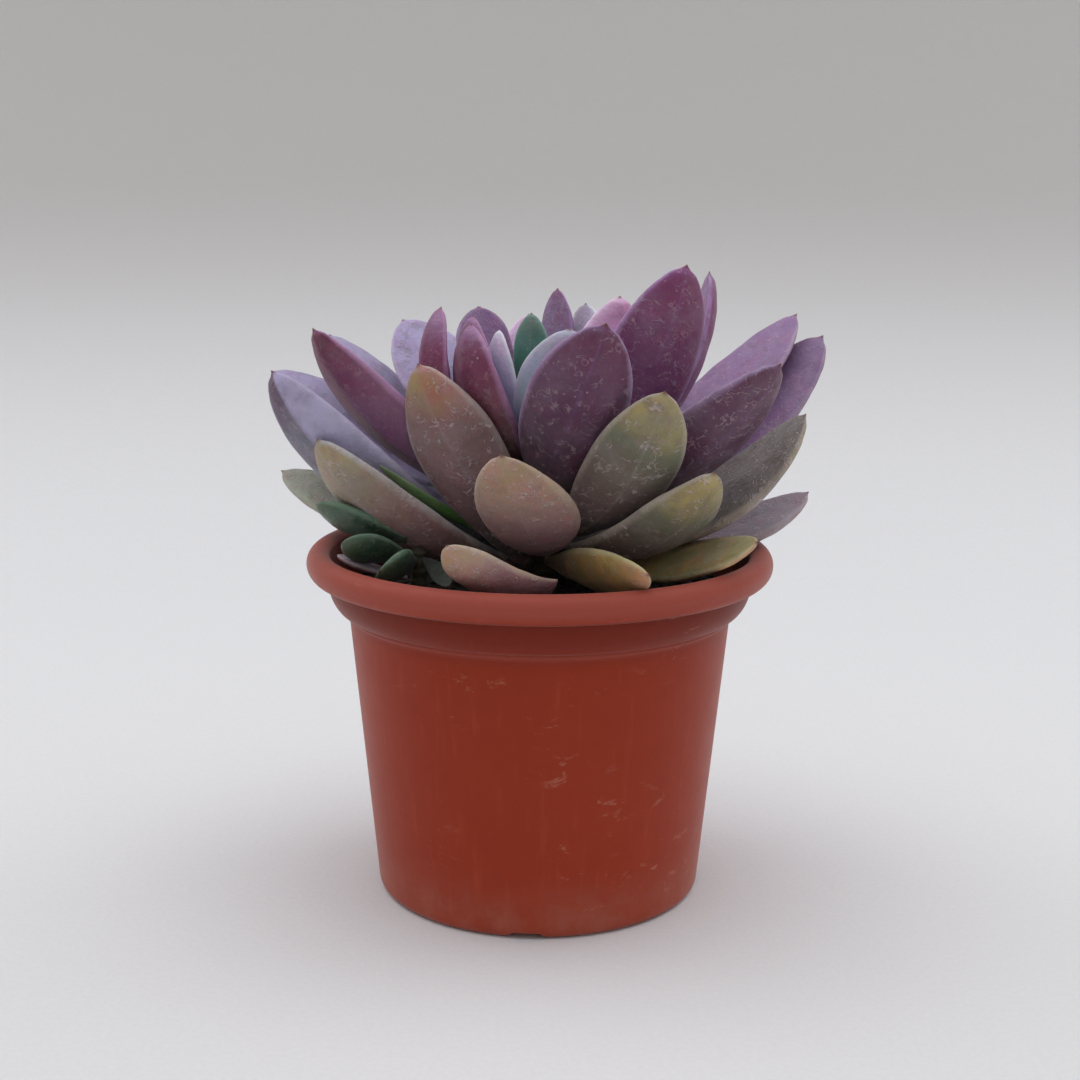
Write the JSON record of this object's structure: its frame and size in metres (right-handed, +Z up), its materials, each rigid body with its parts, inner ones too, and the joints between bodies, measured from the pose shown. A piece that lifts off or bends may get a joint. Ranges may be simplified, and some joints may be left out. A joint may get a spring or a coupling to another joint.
{
  "type": "potted succulent",
  "caption": "Small succulent with a rosette of thick pointed purple and olive leaves, planted with a green offset in a round terracotta-coloured plastic pot.",
  "frame": {"origin": "middle of the pot's flat underside, on the pot's axis and on the surface it stands on", "axes": "+Z up along the pot's axis, -Y towards the plant's front, +X to the right seen from the front"},
  "size_m": [0.1208, 0.1014, 0.1361],
  "materials": {
    "pot": "satin",
    "soil": "matte",
    "stems": "matte",
    "old_leaves": "matte",
    "outer_leaves": "matte",
    "middle_leaves": "matte",
    "inner_leaves": "matte",
    "offset_leaves": "matte"
  },
  "bodies": {
    "root": {"pot": "pot", "soil": "soil", "stem": "stems", "offset_stem": "stems", "old_leaf_front": "old_leaves", "old_leaf_front_left": "old_leaves", "old_leaf_left": "old_leaves", "old_leaf_front_right": "old_leaves", "old_leaf_right": "old_leaves", "old_leaf_low_right": "old_leaves", "old_leaf_low_front_right": "old_leaves", "old_leaf_low_front": "old_leaves", "outer_leaf_front_left": "outer_leaves", "outer_leaf_front_right": "outer_leaves", "outer_leaf_left_1": "outer_leaves", "outer_leaf_left_2": "outer_leaves", "outer_leaf_left_3": "outer_leaves", "outer_leaf_left_4": "outer_leaves", "outer_leaf_right_1": "outer_leaves", "outer_leaf_right_2": "outer_leaves", "outer_leaf_right_3": "outer_leaves", "outer_leaf_right_4": "outer_leaves", "outer_leaf_back_1": "outer_leaves", "outer_leaf_back_2": "outer_leaves", "outer_leaf_back_3": "outer_leaves", "outer_leaf_back_4": "outer_leaves", "outer_leaf_back_5": "outer_leaves", "outer_leaf_back_6": "outer_leaves", "outer_leaf_back_7": "outer_leaves", "outer_leaf_back_8": "outer_leaves", "middle_leaf_front_1": "middle_leaves", "middle_leaf_front_2": "middle_leaves", "middle_leaf_front_3": "middle_leaves", "middle_leaf_left_1": "middle_leaves", "middle_leaf_left_2": "middle_leaves", "middle_leaf_right_1": "middle_leaves", "middle_leaf_right_2": "middle_leaves", "middle_leaf_right_3": "middle_leaves", "middle_leaf_back_1": "middle_leaves", "middle_leaf_back_2": "middle_leaves", "middle_leaf_back_3": "middle_leaves", "middle_leaf_back_4": "middle_leaves", "middle_leaf_back_5": "middle_leaves", "inner_leaf_1": "inner_leaves", "inner_leaf_2": "inner_leaves", "inner_leaf_3": "inner_leaves", "inner_leaf_4": "inner_leaves", "inner_leaf_5": "inner_leaves", "inner_leaf_6": "inner_leaves", "inner_leaf_7": "inner_leaves", "inner_leaf_8": "inner_leaves", "inner_leaf_9": "inner_leaves", "inner_leaf_10": "inner_leaves", "shoot_leaf": "offset_leaves", "offset_leaf_1": "offset_leaves", "offset_leaf_2": "offset_leaves", "offset_leaf_3": "offset_leaves", "offset_leaf_4": "offset_leaves", "offset_leaf_5": "offset_leaves"}
  },
  "joints": []
}
